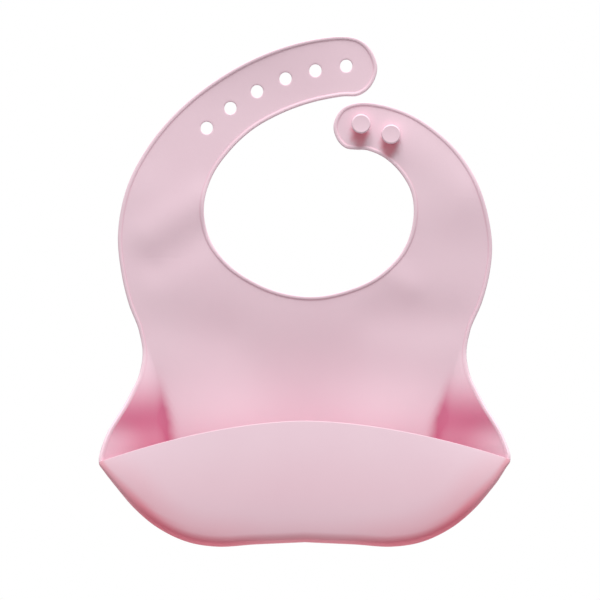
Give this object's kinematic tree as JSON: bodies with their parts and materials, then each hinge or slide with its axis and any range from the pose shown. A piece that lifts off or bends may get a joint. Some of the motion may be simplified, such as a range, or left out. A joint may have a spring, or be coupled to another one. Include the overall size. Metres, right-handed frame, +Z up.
{
  "type": "silicone baby bib",
  "caption": "Soft silicone bib with a deep crumb-catching pouch, a beaded edge and an adjustable neck strap that fastens with mushroom studs through round holes.",
  "frame": {"origin": "middle of the neck opening, on the flat back face of the chest panel", "axes": "+Z up towards the neck straps, +Y out of the back of the bib towards the wearer, +X to the stud strap's side; the pouch is on the -Y side"},
  "size_m": [0.2354, 0.0496, 0.2968],
  "materials": {
    "silicone": "matt pale pink food-grade silicone"
  },
  "bodies": {
    "bib_body": {"chest_panel": "silicone", "pouch_gusset_left": "silicone", "pouch_gusset_right": "silicone", "pouch_floor": "silicone"},
    "pouch_front": {"pouch_front_wall": "silicone"},
    "hole_strap_lower": {"hole_strap_shoulder": "silicone"},
    "hole_strap_mid": {"hole_strap_middle": "silicone"},
    "hole_strap_end": {"hole_strap_tip": "silicone"},
    "stud_strap_lower": {"stud_strap_shoulder": "silicone"},
    "stud_strap_end": {"stud_strap_tip": "silicone", "closure_stud_inner": "silicone", "closure_stud_outer": "silicone"}
  },
  "joints": [
    {"name": "pouch_front_flex", "type": "hinge", "parent": "bib_body", "child": "pouch_front", "pos_m": [0, -0.0202, -0.1955], "axis": [1, 0, 0], "range_deg": [0, 20], "stiffness_Nm_per_rad": 0.4},
    {"name": "hole_strap_shoulder_flex", "type": "hinge", "parent": "bib_body", "child": "hole_strap_lower", "pos_m": [-0.0845, -0.0008, -0.008], "axis": [-1, 0, 0], "range_deg": [-30, 90], "stiffness_Nm_per_rad": 0.06},
    {"name": "hole_strap_middle_flex", "type": "hinge", "parent": "hole_strap_lower", "child": "hole_strap_mid", "pos_m": [-0.0684, -0.0008, 0.034], "axis": [-0.6832, 0, 0.7302], "range_deg": [-30, 60], "stiffness_Nm_per_rad": 0.04},
    {"name": "hole_strap_tip_flex", "type": "hinge", "parent": "hole_strap_mid", "child": "hole_strap_end", "pos_m": [-0.0194, -0.0008, 0.0703], "axis": [-0.4051, 0, 0.9143], "range_deg": [-30, 60], "stiffness_Nm_per_rad": 0.03},
    {"name": "stud_strap_shoulder_flex", "type": "hinge", "parent": "bib_body", "child": "stud_strap_lower", "pos_m": [0.0855, -0.0008, -0.008], "axis": [-1, 0, 0], "range_deg": [-30, 90], "stiffness_Nm_per_rad": 0.05},
    {"name": "stud_strap_tip_flex", "type": "hinge", "parent": "stud_strap_lower", "child": "stud_strap_end", "pos_m": [0.0684, -0.0008, 0.0296], "axis": [-0.7821, 0, -0.6231], "range_deg": [-30, 60], "stiffness_Nm_per_rad": 0.03}
  ]
}
